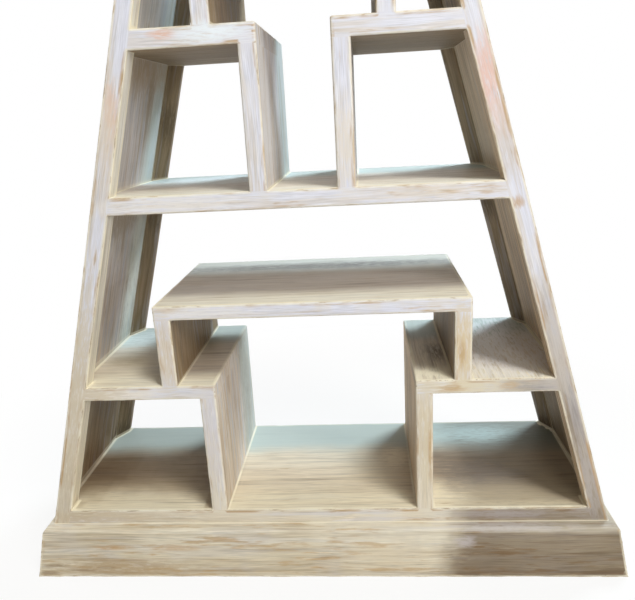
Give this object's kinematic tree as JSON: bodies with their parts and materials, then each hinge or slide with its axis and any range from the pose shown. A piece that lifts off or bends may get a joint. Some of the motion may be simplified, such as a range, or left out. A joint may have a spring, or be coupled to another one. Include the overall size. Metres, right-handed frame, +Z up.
{
  "type": "pyramid bookcase",
  "caption": "Free-standing pyramid bookcase: leaning post-and-panel sides on a wider plinth, with stepped open shelves, uprights and bridges between them, in whitewashed wood, open behind.",
  "frame": {"origin": "on the floor at the middle of the whole outline, the plinth included", "axes": "+Z up, the front faces -Y, +X to the right when seen from the front"},
  "size_m": [1.2, 0.417, 1.75],
  "materials": {
    "whitewashed_wood": "worn whitewash over wood, matt",
    "dowel_wood": "plain beech",
    "steel": "zinc plated"
  },
  "bodies": {
    "root": {"bottom_shelf": "whitewashed_wood", "crown_shelf": "whitewashed_wood", "left_back_post": "whitewashed_wood", "left_front_post": "whitewashed_wood", "left_side_panel": "whitewashed_wood", "lower_bridge_shelf": "whitewashed_wood", "lower_left_riser": "whitewashed_wood", "lower_left_shelf": "whitewashed_wood", "lower_left_upright": "whitewashed_wood", "lower_right_riser": "whitewashed_wood", "lower_right_shelf": "whitewashed_wood", "lower_right_upright": "whitewashed_wood", "middle_shelf": "whitewashed_wood", "plinth_back_board": "whitewashed_wood", "plinth_back_cleat": "whitewashed_wood", "plinth_dowels": "dowel_wood", "plinth_front_board": "whitewashed_wood", "plinth_front_cleat": "whitewashed_wood", "plinth_left_cleat": "whitewashed_wood", "plinth_left_end": "whitewashed_wood", "plinth_right_cleat": "whitewashed_wood", "plinth_right_end": "whitewashed_wood", "plinth_screws": "steel", "right_back_post": "whitewashed_wood", "right_front_post": "whitewashed_wood", "right_side_panel": "whitewashed_wood", "riser_dowels": "dowel_wood", "shelf_end_dowels": "dowel_wood", "top_board": "whitewashed_wood", "top_board_dowels": "dowel_wood", "upper_bridge_shelf": "whitewashed_wood", "upper_left_riser": "whitewashed_wood", "upper_left_shelf": "whitewashed_wood", "upper_left_upright": "whitewashed_wood", "upper_right_riser": "whitewashed_wood", "upper_right_shelf": "whitewashed_wood", "upper_right_upright": "whitewashed_wood", "upright_dowels": "dowel_wood"}
  },
  "joints": []
}
